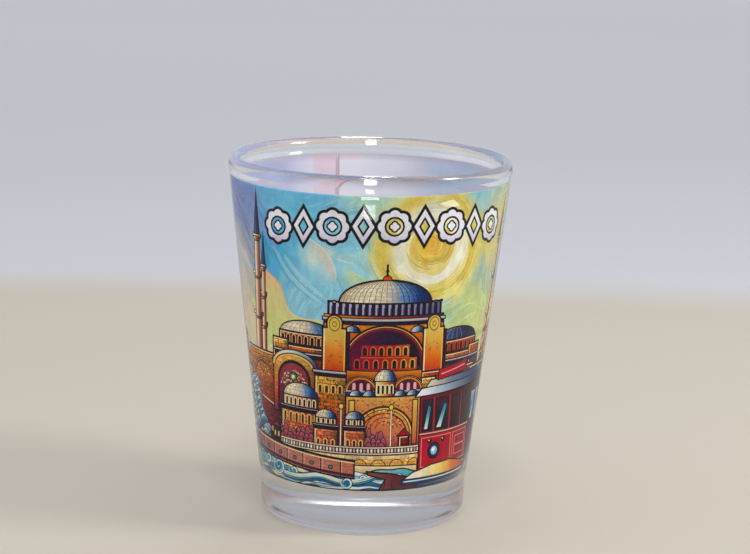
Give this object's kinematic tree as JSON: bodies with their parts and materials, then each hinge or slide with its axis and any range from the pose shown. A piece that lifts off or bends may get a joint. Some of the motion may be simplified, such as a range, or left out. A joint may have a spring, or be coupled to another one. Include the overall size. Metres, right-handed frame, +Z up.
{
  "type": "shot glass",
  "caption": "Tapered shot glass with a rounded lip, a thick clear base and a colour picture printed round its wall under a gloss coat.",
  "frame": {"origin": "centre of the foot's resting plane, on the glass's axis", "axes": "+Z up along the glass's axis; -Y points to the front of the picture; +X to the right as the picture is seen"},
  "size_m": [0.0464, 0.0464, 0.06],
  "materials": {
    "clear_glass": "clear colourless pressed soda-lime glass, fire-polished and glossy",
    "white_ink": "cured white ink ground, thin enough that the picture's colours show faintly from inside",
    "colour_ink": "full-colour printed picture of a domed hall and towers under a painted blue and yellow sky",
    "clear_coat": "clear gloss lacquer over the print"
  },
  "bodies": {
    "root": {"glass_body": "clear_glass", "white_ground": "white_ink", "colour_picture": "colour_ink", "clear_coat": "clear_coat"}
  },
  "joints": []
}
